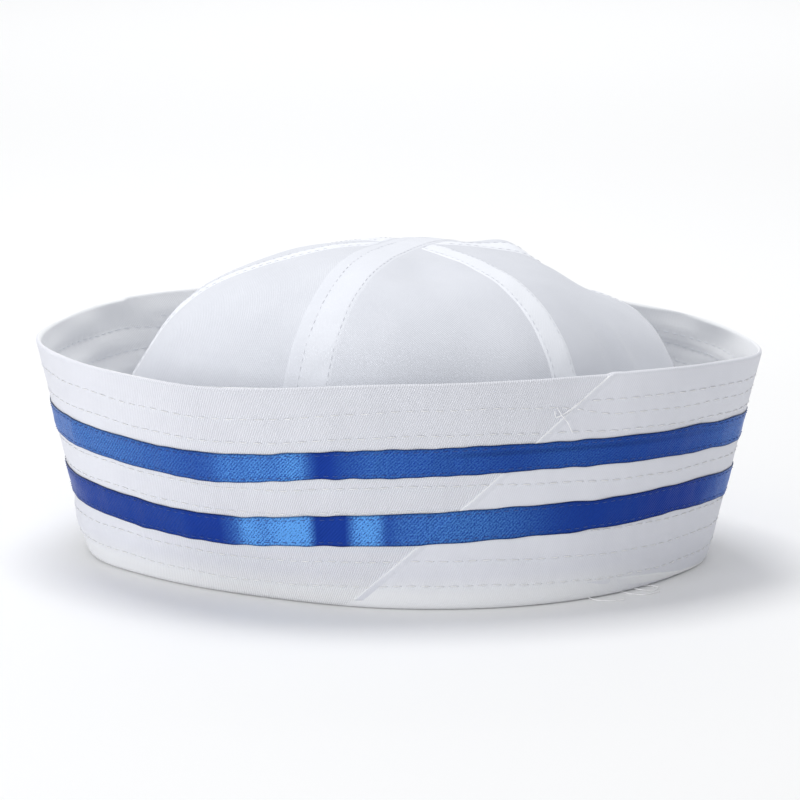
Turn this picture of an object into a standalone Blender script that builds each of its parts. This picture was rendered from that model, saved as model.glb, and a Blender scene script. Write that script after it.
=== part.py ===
"""Sailor cap: a six-panel cloth crown inside a turned-up, stitched brim with two ribbons.

Metres, +Z up. The cap stands on the fold of its brim. The origin is on the floor under the
middle of the cap, and the front of the cap faces -Y. Azimuths are in degrees from the front
towards +X, measured round the middle of the brim's outline.
"""
import bpy
import bmesh
import numpy as np

MM = 0.001

# Driving dimensions
OUTLINE_X = 0.0017
OUTLINE_Y = -0.0024
BRIM_SLANT = 0.0715
BRIM_WALL = 0.0018
FOLD_RADIUS = 0.0028
FLANGE = 0.008
BELLY_HEIGHT = 0.011
BELLY_SPREAD = 0.006
BELLY_TOP = 0.022
CROWN_HEIGHT = 0.1000
CROWN_LEAN = 0.0024
CROWN_WALL = 0.0011
SEAM_AZIMUTH = -23.3
PANELS = 6
LONG_SEAM_WIDTH = 0.0170
SHORT_SEAM_WIDTH = 0.010
SEAM_WALL = 0.001
SEAM_LIFT = 0.0006
RIBBON_WIDTH = 0.0096
RIBBON_WALL = 0.0010
GAP = 0.0003

# Steps of the grids that the cloth is laid out on
ROUND_STEPS = 96
FOLD_STEPS = 4
BELLY_STEPS = 4
WALL_STEPS = 2
CROWN_ROWS = 16
PANEL_COLUMNS = 8

# Where the crown's pieces start and end, as a rise from 0 at its edge to 1 at its top
PANEL_TOP = 0.985
SEAM_FOOT = 0.006

# Brim sections: azimuth (degrees), radius at the foot, flare at the rim, belly above the foot (mm)
BRIM_SECTIONS = (
    (0, 89.5, 4.5, 0.0),
    (30, 95.5, 1.5, 0.0),
    (60, 100.0, 12.0, 0.0),
    (75, 102.5, 17.0, 0.0),
    (90, 98.5, 12.5, 0.0),
    (105, 94.5, 8.5, 0.0),
    (120, 91.0, 5.0, 0.0),
    (150, 91.0, 3.0, 0.0),
    (180, 90.5, 6.5, 0.0),
    (210, 96.0, 14.0, 0.0),
    (240, 102.0, 16.5, 0.5),
    (255, 101.0, 16.5, 1.0),
    (270, 102.5, 17.0, 1.5),
    (285, 102.0, 14.5, 1.0),
    (300, 94.5, 17.0, 0.5),
    (330, 86.0, 17.5, 0.0),
)
RADIUS, FLARE, BELLY = 1, 2, 3

# Middle lines of the ribbons: azimuth (degrees), upper and lower, up the slant of the brim (mm)
RIBBON_LINES = (
    (0, 46.8, 25.8),
    (30, 47.6, 27.5),
    (60, 47.2, 28.3),
    (120, 46.5, 27.0),
    (210, 46.0, 26.0),
    (280, 46.5, 26.0),
    (300, 45.0, 23.5),
    (320, 44.2, 22.8),
    (340, 46.0, 24.5),
)
UPPER, LOWER = 1, 2

# The crown's four sides: azimuth (degrees), how far its edge lies inside the brim's foot (mm),
# roundness (larger is fuller towards the top), squareness (larger is steeper at the side)
CROWN_SIDES = (
    (0, 6.5, 3.5, 3.9),
    (90, 3.4, 2.0, 3.5),
    (180, 3.7, 2.2, 3.1),
    (270, 4.0, 2.45, 2.7),
)
INSET, ROUNDNESS, SQUARENESS = 1, 2, 3

# Dents and swells of the crown: azimuth (degrees), place from edge 0 to top 1,
# half width round (degrees), half width up (same scale as the place), depth inwards (mm)
CROWN_DENTS = (
    (8, 0.80, 14, 0.09, 1.6),
    (72, 0.60, 12, 0.10, 1.5),
    (104, 0.59, 22, 0.08, 4.0),
    (96, 0.38, 22, 0.09, -3.0),
    (112, 0.745, 18, 0.055, -3.6),
    (266, 0.36, 20, 0.09, 2.0),
    (255, 0.56, 18, 0.08, -1.2),
)


def around(table, azimuth, column):
    """One column of a table at any azimuth, joined smoothly from row to row."""
    rows = np.array(table)
    knot = np.concatenate((rows[-1:, 0] - 360, rows[:, 0], rows[:2, 0] + 360))
    value = np.concatenate((rows[-1:, column], rows[:, column], rows[:2, column]))
    slope = np.gradient(value, knot)
    azimuth = np.mod(azimuth, 360)
    i = np.searchsorted(knot, azimuth, side="right") - 1
    span = knot[i + 1] - knot[i]
    t = (azimuth - knot[i]) / span
    return ((1 + 2 * t) * (1 - t) ** 2 * value[i] + t * (1 - t) ** 2 * span * slope[i]
            + t ** 2 * (3 - 2 * t) * value[i + 1] - t ** 2 * (1 - t) * span * slope[i + 1])


def place(azimuth, radius, height):
    """Points at an azimuth, a distance from the middle of the outline, and a height."""
    turn = np.radians(azimuth)
    return np.stack((OUTLINE_X + radius * np.sin(turn), OUTLINE_Y - radius * np.cos(turn),
                     height + 0 * radius), -1)


def lifted(shape, azimuth, along, lift):
    """Points of a surface, moved out along its own normals."""
    step = 0.0005
    sideways = shape(azimuth + step / MM, along) - shape(azimuth - step / MM, along)
    upwards = shape(azimuth, along + step) - shape(azimuth, along - step)
    normal = np.cross(sideways, upwards)
    return shape(azimuth, along) + lift * normal / np.linalg.norm(normal, axis=-1, keepdims=True)


def brim_outside(azimuth, slant):
    """Outer face of the brim.

    The slant is measured up the wall from where the wall's line meets the floor. Below the
    round fold it goes on as a flat flange that runs inwards on the floor.
    """
    lean = np.arcsin(around(BRIM_SECTIONS, azimuth, FLARE) * MM / BRIM_SLANT)
    turn = np.pi / 2 - lean
    tangent = FOLD_RADIUS * np.tan(turn / 2)
    foot = around(BRIM_SECTIONS, azimuth, RADIUS) * MM
    fold = np.clip((slant + tangent) / (2 * tangent), 0, 1) * turn
    wall = np.maximum(slant - tangent, 0)
    flat = np.maximum(-slant - tangent, 0)
    radius = foot - tangent + FOLD_RADIUS * np.sin(fold) + wall * np.sin(lean) - flat
    height = FOLD_RADIUS * (1 - np.cos(fold)) + wall * np.cos(lean)
    bulge = np.exp(-((height - BELLY_HEIGHT) / BELLY_SPREAD) ** 2)
    radius = radius + around(BRIM_SECTIONS, azimuth, BELLY) * MM * bulge
    return place(azimuth, radius, height)


def crown_side(azimuth):
    """The crown's edge radius, roundness and squareness at an azimuth."""
    radius = around(BRIM_SECTIONS, azimuth, RADIUS) - around(CROWN_SIDES, azimuth, INSET)
    return (radius * MM, around(CROWN_SIDES, azimuth, ROUNDNESS),
            around(CROWN_SIDES, azimuth, SQUARENESS))


def crown_outside(azimuth, rise):
    """Outer face of the crown, from its edge at rise 0 to its top at rise 1, with its dents."""
    edge, roundness, squareness = crown_side(azimuth)
    angle = np.clip(rise, 0, 1) * np.pi / 2
    radius = edge * np.cos(angle) ** (2 / roundness)
    floor = BRIM_WALL + GAP
    height = floor + (CROWN_HEIGHT - floor) * np.sin(angle) ** (2 / squareness)
    dent = 0 * radius
    for middle, level, half_round, half_up, depth in CROWN_DENTS:
        off = np.mod(azimuth - middle + 180, 360) - 180
        dent = dent + depth * MM * np.exp(-(off / half_round) ** 2 - ((rise - level) / half_up) ** 2)
    point = place(azimuth, radius - dent * np.cos(angle), height - dent * np.sin(angle))
    point[..., 0] += CROWN_LEAN * np.sin(angle) ** 2
    return point


def crown_strip(azimuth, sideways, rise):
    """Azimuth and rise of a point beside the middle line of a seam.

    Past rise 1 the point is beyond the top, on the other half of the line. Near the top the
    strip keeps its width in plan, and near the crown's edge its two sides end level.
    """
    beyond = rise > 1
    rise = np.where(beyond, 2 - rise, rise)
    azimuth = azimuth + 180 * beyond
    sideways = np.where(beyond, -sideways, sideways)
    edge, roundness, _ = crown_side(azimuth)
    distance = edge * np.cos(rise * np.pi / 2) ** (2 / roundness)
    level = (distance / edge) ** 2
    azimuth = azimuth + np.degrees(np.arctan2(sideways, distance))
    new_edge, roundness, _ = crown_side(azimuth)
    share = np.clip(np.hypot(distance, sideways) / new_edge, 0, 1)
    in_plan = np.arccos(share ** (roundness / 2)) * 2 / np.pi
    return azimuth, level * rise + (1 - level) * in_plan


def cloth(name, shape, columns, rows, wall, material, closed=False):
    """One piece of cloth: a grid laid over a surface and given its thickness.

    shape takes two numbers from 0 to 1, across and up, and gives points of the piece's outer
    or inner face. A wall above 0 is added outwards, below 0 inwards. A closed piece runs all
    the way round, so its two ends are merged.
    """
    mesh = bpy.data.meshes.new(name)
    grid = bmesh.new()
    bmesh.ops.create_grid(grid, x_segments=columns, y_segments=rows, size=0.5)
    across, up = np.array([(v.co.x + 0.5, v.co.y + 0.5) for v in grid.verts]).T
    for vertex, point in zip(grid.verts, shape(across, up)):
        vertex.co = point
    if closed:
        bmesh.ops.remove_doubles(grid, verts=grid.verts, dist=0.00001)
    grid.to_mesh(mesh)
    grid.free()
    mesh.shade_smooth()
    mesh.materials.append(material)
    piece = bpy.data.objects.new(name, mesh)
    collection.objects.link(piece)
    thickness = piece.modifiers.new("Cloth thickness", "SOLIDIFY")
    thickness.thickness = abs(wall)
    thickness.offset = 1 if wall > 0 else -1
    thickness.use_even_offset = True
    return piece


def colour_material(name, colour, roughness):
    """Principled material of one colour (linear red, green, blue)."""
    material = bpy.data.materials.new(name)
    material.use_nodes = True
    shader = material.node_tree.nodes["Principled BSDF"]
    shader.inputs["Base Color"].default_value = (*colour, 1)
    shader.inputs["Roughness"].default_value = roughness
    shader.inputs["Metallic"].default_value = 0
    return material


def build_brim(material):
    """The stitched band with its foot fold, and the flange that the cap stands on."""
    tangent = FOLD_RADIUS * np.tan(np.pi / 4)
    stops = np.concatenate(([-tangent - FLANGE], np.linspace(-tangent, tangent, FOLD_STEPS + 1),
                            np.linspace(tangent, BELLY_TOP, BELLY_STEPS + 1)[1:],
                            np.linspace(BELLY_TOP, BRIM_SLANT, WALL_STEPS + 1)[1:]))
    knots = np.linspace(0, 1, len(stops))

    def shape(across, up):
        return brim_outside(360 * across, np.interp(up, knots, stops))
    cloth("brim", shape, ROUND_STEPS, len(stops) - 1, -BRIM_WALL, material, closed=True)


def crown_stops(start, end):
    """Rises of the rows of a crown piece: the panels' own rows between a start and an end."""
    rows = np.linspace(0, PANEL_TOP, CROWN_ROWS + 1)
    inner = rows[(rows > start + 0.01) & (rows < end - 0.01)]
    return np.concatenate(([start], inner, [end]))


def build_crown_panels(material):
    """Six gores between the seams, each ending in a narrow tip under the long seam."""
    for number in range(PANELS):
        start = SEAM_AZIMUTH + number * 360 / PANELS

        def shape(across, up, start=start):
            rise = up * PANEL_TOP
            middle = start + 180 / PANELS
            edge, roundness, _ = crown_side(middle)
            radius = edge * np.cos(rise * np.pi / 2) ** (2 / roundness)
            half = 180 / PANELS - np.degrees(GAP / 2 / radius)
            return crown_outside(middle + half * (2 * across - 1), rise)
        cloth(f"crown_panel_{number + 1}", shape, PANEL_COLUMNS, CROWN_ROWS, -CROWN_WALL, material)


def build_long_seam(material):
    """The seam strip that runs over the top, from the front left edge to the back edge."""
    half = crown_stops(SEAM_FOOT, 1)
    stops = np.concatenate((half, 2 - half[-2::-1]))
    knots = np.linspace(0, 1, len(stops))

    def shape(across, up):
        sideways = (across - 0.5) * LONG_SEAM_WIDTH
        rise = np.interp(up, knots, stops)
        return lifted(crown_outside, *crown_strip(SEAM_AZIMUTH, sideways, rise), SEAM_LIFT)
    cloth("crown_seam_long", shape, 3, len(stops) - 1, SEAM_WALL, material)


def build_short_seams(material):
    """Four seam strips that end at the long one, mitred where two of them meet."""
    spread = 2 * np.pi / PANELS
    for number in (2, 3, 5, 6):
        azimuth = SEAM_AZIMUTH + (number - 1) * 360 / PANELS
        long_seam_side = -1 if number in (2, 5) else 1
        edge, roundness, _ = crown_side(azimuth)
        near_top = (LONG_SEAM_WIDTH / 2 + GAP) * np.cos(spread / 2) + 2 * GAP
        stops = crown_stops(SEAM_FOOT, np.arccos((near_top / edge) ** (roundness / 2)) * 2 / np.pi)
        knots = np.linspace(0, 1, len(stops))

        def shape(across, up):
            rise = np.interp(up, knots, stops)
            distance = edge * np.cos(rise * np.pi / 2) ** (2 / roundness)
            clear = (distance * np.sin(spread) - LONG_SEAM_WIDTH / 2 - GAP) / np.cos(spread)
            to_long = np.minimum(SHORT_SEAM_WIDTH / 2, clear)
            to_short = np.minimum(SHORT_SEAM_WIDTH / 2, distance * np.tan(spread / 2) - GAP)
            share = across if long_seam_side > 0 else 1 - across
            sideways = long_seam_side * (share * (to_long + to_short) - to_short)
            return lifted(crown_outside, *crown_strip(azimuth, sideways, rise), SEAM_LIFT)
        cloth(f"crown_seam_{number}", shape, 2, len(stops) - 1, SEAM_WALL, material)


def build_ribbons(material):
    """Two satin ribbons round the outside of the brim, following its wavy stitching."""
    for name, column in (("ribbon_upper", UPPER), ("ribbon_lower", LOWER)):
        def shape(across, up, column=column):
            middle = around(RIBBON_LINES, 360 * across, column) * MM
            slant = middle + (up - 0.5) * RIBBON_WIDTH
            return lifted(brim_outside, 360 * across, slant, GAP)
        cloth(name, shape, ROUND_STEPS, 1, RIBBON_WALL, material, closed=True)


for old in list(bpy.data.objects):
    bpy.data.objects.remove(old)
collection = bpy.data.collections.new("Sailor cap")
bpy.context.scene.collection.children.link(collection)

twill = colour_material("White twill", (0.74, 0.75, 0.79), 0.9)
poplin = colour_material("White poplin", (0.77, 0.78, 0.82), 0.9)
satin = colour_material("Blue satin", (0.02, 0.07, 0.38), 0.35)
build_brim(twill)
build_crown_panels(poplin)
build_long_seam(poplin)
build_short_seams(poplin)
build_ribbons(satin)
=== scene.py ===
"""Sailor cap: six-panel white crown in a turned-up stitched brim with two blue satin ribbons.

Metres, +Z up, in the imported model's frame, the cap facing -Y. An azimuth is in degrees from
the front towards +X, round the middle of the foot's outline. A slant is a height measured up
the leaning wall of the brim, from where the wall's line meets the floor.
"""

import bpy
import numpy as np
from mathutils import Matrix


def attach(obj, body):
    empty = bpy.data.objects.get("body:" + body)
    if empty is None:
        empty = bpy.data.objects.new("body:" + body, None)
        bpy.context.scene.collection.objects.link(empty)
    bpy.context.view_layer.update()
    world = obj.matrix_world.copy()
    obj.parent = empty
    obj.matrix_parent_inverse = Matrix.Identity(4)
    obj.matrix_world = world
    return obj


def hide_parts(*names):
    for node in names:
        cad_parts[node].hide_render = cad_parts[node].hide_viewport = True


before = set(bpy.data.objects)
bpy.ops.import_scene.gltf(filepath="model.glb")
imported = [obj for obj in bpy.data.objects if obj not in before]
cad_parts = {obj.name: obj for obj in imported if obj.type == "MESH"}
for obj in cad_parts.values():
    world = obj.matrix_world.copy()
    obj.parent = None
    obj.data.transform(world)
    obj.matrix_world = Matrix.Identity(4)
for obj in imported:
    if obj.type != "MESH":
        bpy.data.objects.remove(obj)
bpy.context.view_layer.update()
pi = np.pi

# Crown panels
# Six gores of thin white cotton cut alike and sewn edge to edge into a rounded crown. Their
# lower edges are caught in the fold at the foot of the brim. The cloth is limp, so it stands
# in soft dents, most of them at the top and on the right.
MM = 0.001
OUTLINE_X = 0.0017
OUTLINE_Y = -0.0024
BRIM_SECTIONS = (  # azimuth (degrees), foot radius, flare at the rim, belly above the foot (mm)
    (0, 89.5, 4.5, 0.0),
    (30, 95.5, 1.5, 0.0),
    (60, 100.0, 12.0, 0.0),
    (75, 102.5, 17.0, 0.0),
    (90, 98.5, 12.5, 0.0),
    (105, 94.5, 8.5, 0.0),
    (120, 91.0, 5.0, 0.0),
    (150, 91.0, 3.0, 0.0),
    (180, 90.5, 6.5, 0.0),
    (210, 96.0, 14.0, 0.0),
    (240, 102.0, 16.5, 0.5),
    (255, 101.0, 16.5, 1.0),
    (270, 102.5, 17.0, 1.5),
    (285, 102.0, 14.5, 1.0),
    (300, 94.5, 17.0, 0.5),
    (330, 86.0, 17.5, 0.0),
)
FOOT, FLARE, BELLY = 1, 2, 3
CROWN_SIDES = (  # azimuth (degrees), inset of the edge (mm), roundness, squareness
    (0, 6.5, 3.5, 3.9),
    (90, 3.4, 2.0, 3.5),
    (180, 3.7, 2.2, 3.1),
    (270, 4.0, 2.45, 2.7),
)
INSET, ROUNDNESS, SQUARENESS = 1, 2, 3
CROWN_DENTS = (  # azimuth, rise 0 to 1, half width round (degrees), half width up, depth (mm)
    (8, 0.80, 14, 0.09, 1.6),
    (72, 0.60, 12, 0.10, 1.5),
    (104, 0.59, 22, 0.08, 4.0),
    (96, 0.38, 22, 0.09, -3.0),
    (112, 0.745, 18, 0.055, -3.6),
    (266, 0.36, 20, 0.09, 2.0),
    (255, 0.56, 18, 0.08, -1.2),
    (52, 0.30, 2.5, 0.16, 0.9),
    (57, 0.32, 2.5, 0.18, -0.7),
    (20, 0.52, 9, 0.20, 0.7),
    (320, 0.55, 12, 0.12, 0.6),
)
CROWN_WAVES = ((0.35, 0.042, 3), (0.10, 0.016, 4))  # depth (mm), size (m), seed
CROWN_HEIGHT = 0.1000
CROWN_FLOOR = 0.0021
CROWN_LEAN = 0.0024
CROWN_WALL = 0.0009
PANELS = 6
PANEL_GAP = 0.00015
PANEL_TOP = 0.985
PANEL_ROWS = 104
PANEL_COLUMNS = 72
SEAM_AZIMUTH = -23.3
NORMAL_TURN = 0.4  # degrees
NORMAL_CLIMB = 0.0004
WEAVE_PITCH = 0.00055
PRESSED_HEIGHT = 0.6  # of a rib that is pressed flat, from 0 to 1


def hermite(t, before, after, slope_before, slope_after):
    """Cubic Hermite curve between two values with their slopes, at a share t of the way."""
    return ((1 + 2 * t) * (1 - t) ** 2 * before + t * (1 - t) ** 2 * slope_before
            + t ** 2 * (3 - 2 * t) * after - t ** 2 * (1 - t) * slope_after)


def around(table, azimuth, column):
    """One column of a table at any azimuth: a cubic Hermite curve through its rows."""
    rows = np.array(table)
    knot = np.concatenate((rows[-1:, 0] - 360, rows[:, 0], rows[:2, 0] + 360))
    value = np.concatenate((rows[-1:, column], rows[:, column], rows[:2, column]))
    slope = np.gradient(value, knot)
    azimuth = np.mod(azimuth, 360)
    i = np.searchsorted(knot, azimuth, side="right") - 1
    span = knot[i + 1] - knot[i]
    return hermite((azimuth - knot[i]) / span, value[i], value[i + 1], span * slope[i], span * slope[i + 1])


def turned_from(azimuth, middle):
    """Degrees from a middle azimuth, between -180 and 180."""
    return np.mod(azimuth - middle + 180, 360) - 180


def place(azimuth, radius, height):
    """Points from cylindrical coordinates round the middle of the foot's outline."""
    turn = np.radians(azimuth)
    return np.stack((OUTLINE_X + radius * np.sin(turn), OUTLINE_Y - radius * np.cos(turn),
                     height + 0 * radius), -1)


def unevenness(points, size, seed, waves=16):
    """Soft random field: the sum of a few sine waves through space, about size long."""
    rng = np.random.default_rng(seed)
    way = rng.normal(size=(waves, 3))
    way /= np.linalg.norm(way, axis=1, keepdims=True) * size * rng.uniform(0.7, 1.5, (waves, 1))
    return np.sin(2 * pi * (points @ way.T) + rng.uniform(0, 2 * pi, waves)).sum(-1) / np.sqrt(waves)


def waviness(points, table):
    """Sum of soft random fields, from rows of depth (mm), size (m) and seed."""
    return sum(depth * unevenness(points, size, seed) for depth, size, seed in table)


def normals(face, across, up):
    """Outward unit normals of a surface, from the cross product of its two differences."""
    sideways = face(across + NORMAL_TURN, up) - face(across - NORMAL_TURN, up)
    upwards = face(across, up + NORMAL_CLIMB) - face(across, up - NORMAL_CLIMB)
    normal = np.cross(sideways, upwards)
    return normal / np.linalg.norm(normal, axis=-1, keepdims=True)


def crown_side(azimuth):
    """The crown's edge radius, roundness and squareness at an azimuth."""
    edge = (around(BRIM_SECTIONS, azimuth, FOOT) - around(CROWN_SIDES, azimuth, INSET)) * MM
    return edge, around(CROWN_SIDES, azimuth, ROUNDNESS), around(CROWN_SIDES, azimuth, SQUARENESS)


def plan_radius(azimuth, rise):
    """The crown's radius in plan at a rise from 0 to 1: the edge radius times a power of the
    cosine of the rise's quarter turn."""
    edge, roundness, _ = crown_side(azimuth)
    return edge * np.cos(np.clip(rise, 0, 1) * pi / 2) ** (2 / roundness)


def rise_at(azimuth, radius):
    """The rise at which the crown has a radius in plan, the inverse of plan_radius."""
    edge, roundness, _ = crown_side(azimuth)
    return np.arccos(np.clip(radius / edge, 0, 1) ** (roundness / 2)) * 2 / pi


def crown_face(azimuth, rise):
    """Outer face of the crown: a superellipse up each side, less a sum of Gaussian dents and
    a soft unevenness."""
    squareness = around(CROWN_SIDES, azimuth, SQUARENESS)
    angle = np.clip(rise, 0, 1) * pi / 2
    radius = plan_radius(azimuth, rise)
    height = CROWN_FLOOR + (CROWN_HEIGHT - CROWN_FLOOR) * np.sin(angle) ** (2 / squareness)
    dent = 0 * radius
    for middle, level, half_round, half_up, depth in CROWN_DENTS:
        off = turned_from(azimuth, middle)
        dent = dent + depth * MM * np.exp(-(off / half_round) ** 2 - ((rise - level) / half_up) ** 2)
    point = place(azimuth, radius, height)
    dent = dent + waviness(point, CROWN_WAVES) * MM
    shift = place(azimuth, -dent * np.cos(angle), -dent * np.sin(angle)) - place(azimuth, 0 * dent, 0)
    point = point + shift
    point[..., 0] += CROWN_LEAN * np.sin(angle) ** 2
    return point


def crown_normals(azimuth, rise):
    """Outward unit normals of the crown, taken a little inside its edge and its top."""
    return normals(crown_face, azimuth, np.clip(rise, 0.001, 0.998))


def run_length(line):
    """Distance along a line of points, from its start to each point."""
    return np.concatenate(((0,), np.cumsum(np.linalg.norm(np.diff(line, axis=0), axis=1))))


def add_piece(name, points, faces, uv_name, uv, material):
    """One finished piece at the origin, from its points, its faces and a UV for each corner."""
    mesh = bpy.data.meshes.new(name)
    mesh.from_pydata(points.reshape(-1, 3), [], faces)
    mesh.uv_layers.new(name=uv_name).uv.foreach_set("vector", uv.ravel())
    mesh.shade_smooth()
    mesh.materials.append(material)
    piece = bpy.data.objects.new(name, mesh)
    bpy.context.collection.objects.link(piece)
    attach(piece, "root")
    return piece


def cloth_object(name, outer, inner, across, up, material, ring=False, marks=None):
    """One closed piece of cloth from two grids of points, its outer and inner faces.

    Rows run up and columns run across. The faces are joined along the open edges; on a ring
    the last column is joined to the first. The UV map holds each point's distance across and
    up the cloth, in metres. Marks are named attributes from 0 to 1: a pair of grids, for the
    outer and the inner face, or one grid for both.
    """
    rows, columns = outer.shape[:2]
    steps = columns if ring else columns - 1
    count = rows * columns
    a, b = np.meshgrid(np.arange(rows - 1), np.arange(steps), indexing="ij")
    next_b = (b + 1) % columns
    quad = np.stack((a * columns + b, a * columns + next_b, (a + 1) * columns + next_b,
                     (a + 1) * columns + b), -1).reshape(-1, 4)
    low = np.stack((np.arange(steps), (np.arange(steps) + 1) % columns), -1)
    edges = [low[:, ::-1], low + (rows - 1) * columns]
    if not ring:
        side = np.stack((np.arange(rows - 1), np.arange(1, rows)), -1) * columns
        edges += [side, (side + columns - 1)[:, ::-1]]
    edge = np.concatenate(edges)
    rim = np.stack((edge[:, 0], edge[:, 1], edge[:, 1] + count, edge[:, 0] + count), -1)
    wide = np.concatenate((across, across[:, -1:] * 2 - across[:, -2:-1]), 1)
    tall = np.concatenate((up, up[:, -1:]), 1)
    uv = np.stack((wide, tall), -1)
    corner = np.stack((a, b), -1).reshape(-1, 1, 2) + np.array(((0, 0), (0, 1), (1, 1), (1, 0)))
    quad_uv = uv[corner[..., 0], corner[..., 1]]
    rim_uv = np.repeat(uv[:, :-1].reshape(-1, 2)[edge[:, :1]], 4, axis=1)
    piece = add_piece(name, np.concatenate((outer, inner)),
                      np.concatenate((quad, quad[:, ::-1] + count, rim)),
                      "Cloth", np.concatenate((quad_uv, quad_uv[:, ::-1], rim_uv)), material)
    for mark, values in (marks or {}).items():
        both = values if isinstance(values, tuple) else (values, values)
        both = np.concatenate([grid.ravel() for grid in both])
        piece.data.attributes.new(mark, "FLOAT", "POINT").data.foreach_set("value", both)
    return piece


def add_node(tree, kind, values=None, **settings):
    """A node in a tree, with its settings and then its inputs, each a plain value or a socket."""
    node = tree.nodes.new("ShaderNode" + kind)
    for setting, value in settings.items():
        setattr(node, setting, value)
    for socket, value in (values or {}).items():
        if isinstance(value, bpy.types.NodeSocket):
            tree.links.new(value, node.inputs[socket])
        else:
            node.inputs[socket].default_value = value
    return node


def compute(tree, operation, *values, **settings):
    """The result of a Math node on plain values or sockets."""
    return add_node(tree, "Math", dict(enumerate(values)), operation=operation, **settings).outputs[0]


def open_group(name, inputs, outputs):
    """A node group with named inputs and outputs, with its inputs' and its outputs' sockets."""
    group = bpy.data.node_groups.new(name, "ShaderNodeTree")
    for way, sockets in (("INPUT", inputs), ("OUTPUT", outputs)):
        for socket, kind in sockets.items():
            group.interface.new_socket(socket, in_out=way, socket_type="NodeSocket" + kind)
    return group, group.nodes.new("NodeGroupInput").outputs, group.nodes.new("NodeGroupOutput").inputs


def twill_group():
    """Node group: the ribs of a twill, as a height from 0 to 1, from a UV map in metres.

    height = a sine along the direction across the ribs, pushed about by noise so that no two
    ribs are quite alike, and broken by a second, finer sine along the ribs.
    """
    group, given, made = open_group(
        "Twill ribs", {"Cloth": "Vector", "Rib pitch": "Float", "Slope": "Float"}, {"Height": "Float"})

    def math(operation, *values):
        return compute(group, operation, *values)

    def wave(angle):
        return math("MULTIPLY", math("ADD", math("SINE", angle), 1), 0.5)

    parts = add_node(group, "SeparateXYZ", {0: given["Cloth"]})
    x, y = parts.outputs[0], parts.outputs[1]
    warp = add_node(group, "TexNoise", {"Vector": given["Cloth"], "Scale": 900, "Detail": 1})
    sine, cosine = math("SINE", given["Slope"]), math("COSINE", given["Slope"])
    beside = math("SUBTRACT", math("MULTIPLY", x, sine), math("MULTIPLY", y, cosine))
    along = math("ADD", math("MULTIPLY", x, cosine), math("MULTIPLY", y, sine))
    phase = math("DIVIDE", math("MULTIPLY", beside, 2 * pi), given["Rib pitch"])
    thread = math("DIVIDE", math("MULTIPLY", along, 3.4 * pi), given["Rib pitch"])
    rib = wave(math("ADD", phase, math("MULTIPLY", warp.outputs["Fac"], 2.2)))
    floats = wave(math("ADD", thread, phase))
    height = math("ADD", math("MULTIPLY", rib, 0.7), math("MULTIPLY", floats, 0.3))
    group.links.new(height, made["Height"])
    return group


def mottle_group():
    """Node group: a colour a little lighter or darker in soft clouds, as washed cloth is.

    colour = first colour mixed towards the second by cloudy noise over object space.
    """
    group, given, made = open_group(
        "Cloth mottle", {"Fresh": "Color", "Shaded": "Color"}, {"Colour": "Color"})
    space = add_node(group, "TexCoord").outputs["Object"]
    clouds = add_node(group, "TexNoise", {"Vector": space, "Scale": 38, "Detail": 5,
                                          "Roughness": 0.62}).outputs["Fac"]
    spread = add_node(group, "MapRange", {"Value": clouds, "From Min": 0.35, "From Max": 0.68})
    blend = add_node(group, "Mix", {"Factor": spread.outputs["Result"], "A": given["Fresh"],
                                    "B": given["Shaded"]}, data_type="RGBA")
    group.links.new(blend.outputs["Result"], made["Colour"])
    return group


def open_material(name, values):
    """A material with its node tree and its shader, and plain values on the shader's sockets."""
    material = bpy.data.materials.new(name)
    material.use_nodes = True
    shader = material.node_tree.nodes["Principled BSDF"]
    for socket, value in values.items():
        shader.inputs[socket].default_value = value
    return material, material.node_tree, shader


def emboss(tree, shader, height, distance):
    """Give the shader a height as bump, so many metres deep."""
    bump = add_node(tree, "Bump", {"Height": height, "Distance": distance, "Strength": 1})
    tree.links.new(bump.outputs["Normal"], shader.inputs["Normal"])


twill_ribs = twill_group()
mottle = mottle_group()


def woven_material(name, fresh, shaded, pitch, slope, relief, painted_hollow_shade, doubled_and_lit_white=None, pressed=False):
    """Cotton: mottled colour with painted shade in the hollows between twill ribs, which are a
    bump from the UV map, and a soft sheen.

    A second white is the colour where the doubled-cloth attribute is 1: doubled cloth, which is
    whiter, and on the brim painted light too. Pressed cloth loses its ribs where the Pressed attribute is 1.
    """
    material, tree, shader = open_material(name, {"Roughness": 0.92, "Sheen Weight": 0.25,
                                                  "Sheen Roughness": 0.5, "Specular IOR Level": 0.25})
    colour = add_node(tree, "Group", {"Fresh": (*fresh, 1), "Shaded": (*shaded, 1)},
                      node_tree=mottle).outputs[0]
    cloth = add_node(tree, "UVMap", uv_map="Cloth").outputs["UV"]
    height = add_node(tree, "Group", {"Cloth": cloth, "Rib pitch": pitch, "Slope": slope},
                      node_tree=twill_ribs).outputs[0]
    if pressed:
        flat = add_node(tree, "Attribute", attribute_name="Pressed").outputs["Fac"]
        height = add_node(tree, "Mix", {"Factor": flat, "A": height, "B": PRESSED_HEIGHT}).outputs["Result"]
    if doubled_and_lit_white:
        shows = add_node(tree, "Attribute", attribute_name="Doubled and painted light").outputs["Fac"]
        colour = add_node(tree, "Mix", {"Factor": shows, "A": colour, "B": (*doubled_and_lit_white, 1)},
                          data_type="RGBA").outputs["Result"]
    # Painted shade: the colour darkens in the hollows between the ribs.
    painted_rib_shade = add_node(tree, "MapRange", {"Value": height, "To Min": painted_hollow_shade, "To Max": 1.0}).outputs["Result"]
    colour_with_painted_light = add_node(tree, "VectorMath", {0: colour, "Scale": painted_rib_shade}, operation="SCALE")
    tree.links.new(colour_with_painted_light.outputs[0], shader.inputs["Base Color"])
    emboss(tree, shader, height, relief)
    return material


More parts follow.
